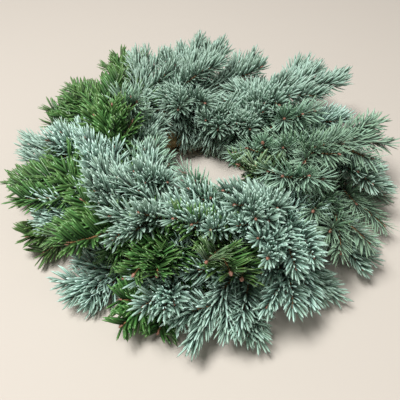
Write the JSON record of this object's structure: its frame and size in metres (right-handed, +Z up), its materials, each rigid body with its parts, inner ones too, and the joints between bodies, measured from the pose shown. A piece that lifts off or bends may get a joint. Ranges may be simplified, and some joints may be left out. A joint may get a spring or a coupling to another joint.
{
  "type": "evergreen wreath",
  "caption": "Round wreath of blue-green and dark green fir sprigs, wire-bound on a straw ring, to lie on a table or be hung as a decoration.",
  "frame": {"origin": "middle of the whole wreath, at the height of the straw ring's flat underside", "axes": "+Z up through the hole in the middle, +Y away from the viewer towards the far side of the wreath, +X to the viewer's right"},
  "size_m": [0.3792, 0.384, 0.1107],
  "materials": {
    "noble_fir": "fresh blue-green noble fir needles with a waxy bloom",
    "nordmann_fir": "fresh glossy dark green nordmann fir needles",
    "turned_fir": "pale undersides of fir needles on orange-brown twigs with small buds",
    "straw": "dry straw, pressed and wound with thread",
    "green_wire": "thin green-lacquered binding wire"
  },
  "bodies": {
    "root": {"binding_wire": "green_wire", "noble_fir_sprig_01": "noble_fir", "noble_fir_sprig_02": "noble_fir", "noble_fir_sprig_03": "noble_fir", "noble_fir_sprig_04": "noble_fir", "noble_fir_sprig_05": "noble_fir", "noble_fir_sprig_06": "noble_fir", "noble_fir_sprig_07": "noble_fir", "noble_fir_sprig_08": "noble_fir", "noble_fir_sprig_09": "noble_fir", "noble_fir_sprig_10": "noble_fir", "noble_fir_sprig_11": "noble_fir", "noble_fir_sprig_12": "noble_fir", "noble_fir_sprig_13": "noble_fir", "noble_fir_sprig_14": "noble_fir", "noble_fir_sprig_15": "noble_fir", "noble_fir_sprig_16": "noble_fir", "noble_fir_sprig_17": "noble_fir", "noble_fir_sprig_18": "noble_fir", "noble_fir_sprig_19": "noble_fir", "noble_fir_sprig_20": "noble_fir", "noble_fir_sprig_21": "noble_fir", "noble_fir_sprig_22": "noble_fir", "noble_fir_sprig_23": "noble_fir", "noble_fir_sprig_24": "noble_fir", "noble_fir_sprig_25": "noble_fir", "noble_fir_sprig_26": "noble_fir", "noble_fir_sprig_27": "noble_fir", "noble_fir_sprig_28": "noble_fir", "noble_fir_sprig_29": "noble_fir", "noble_fir_sprig_30": "noble_fir", "noble_fir_sprig_31": "noble_fir", "noble_fir_sprig_32": "noble_fir", "noble_fir_sprig_33": "noble_fir", "noble_fir_sprig_34": "noble_fir", "nordmann_fir_sprig_01": "nordmann_fir", "nordmann_fir_sprig_02": "nordmann_fir", "nordmann_fir_sprig_03": "nordmann_fir", "nordmann_fir_sprig_04": "nordmann_fir", "nordmann_fir_sprig_05": "nordmann_fir", "nordmann_fir_sprig_06": "nordmann_fir", "nordmann_fir_sprig_07": "nordmann_fir", "nordmann_fir_sprig_08": "nordmann_fir", "nordmann_fir_sprig_09": "nordmann_fir", "nordmann_fir_sprig_10": "nordmann_fir", "nordmann_fir_sprig_11": "nordmann_fir", "nordmann_fir_sprig_12": "nordmann_fir", "straw_ring": "straw", "turned_fir_sprig_01": "turned_fir", "turned_fir_sprig_02": "turned_fir", "turned_fir_sprig_03": "turned_fir", "turned_fir_sprig_04": "turned_fir", "turned_fir_sprig_05": "turned_fir", "turned_fir_sprig_06": "turned_fir", "turned_fir_sprig_07": "turned_fir", "turned_fir_sprig_08": "turned_fir", "turned_fir_sprig_09": "turned_fir", "turned_fir_sprig_10": "turned_fir"}
  },
  "joints": []
}
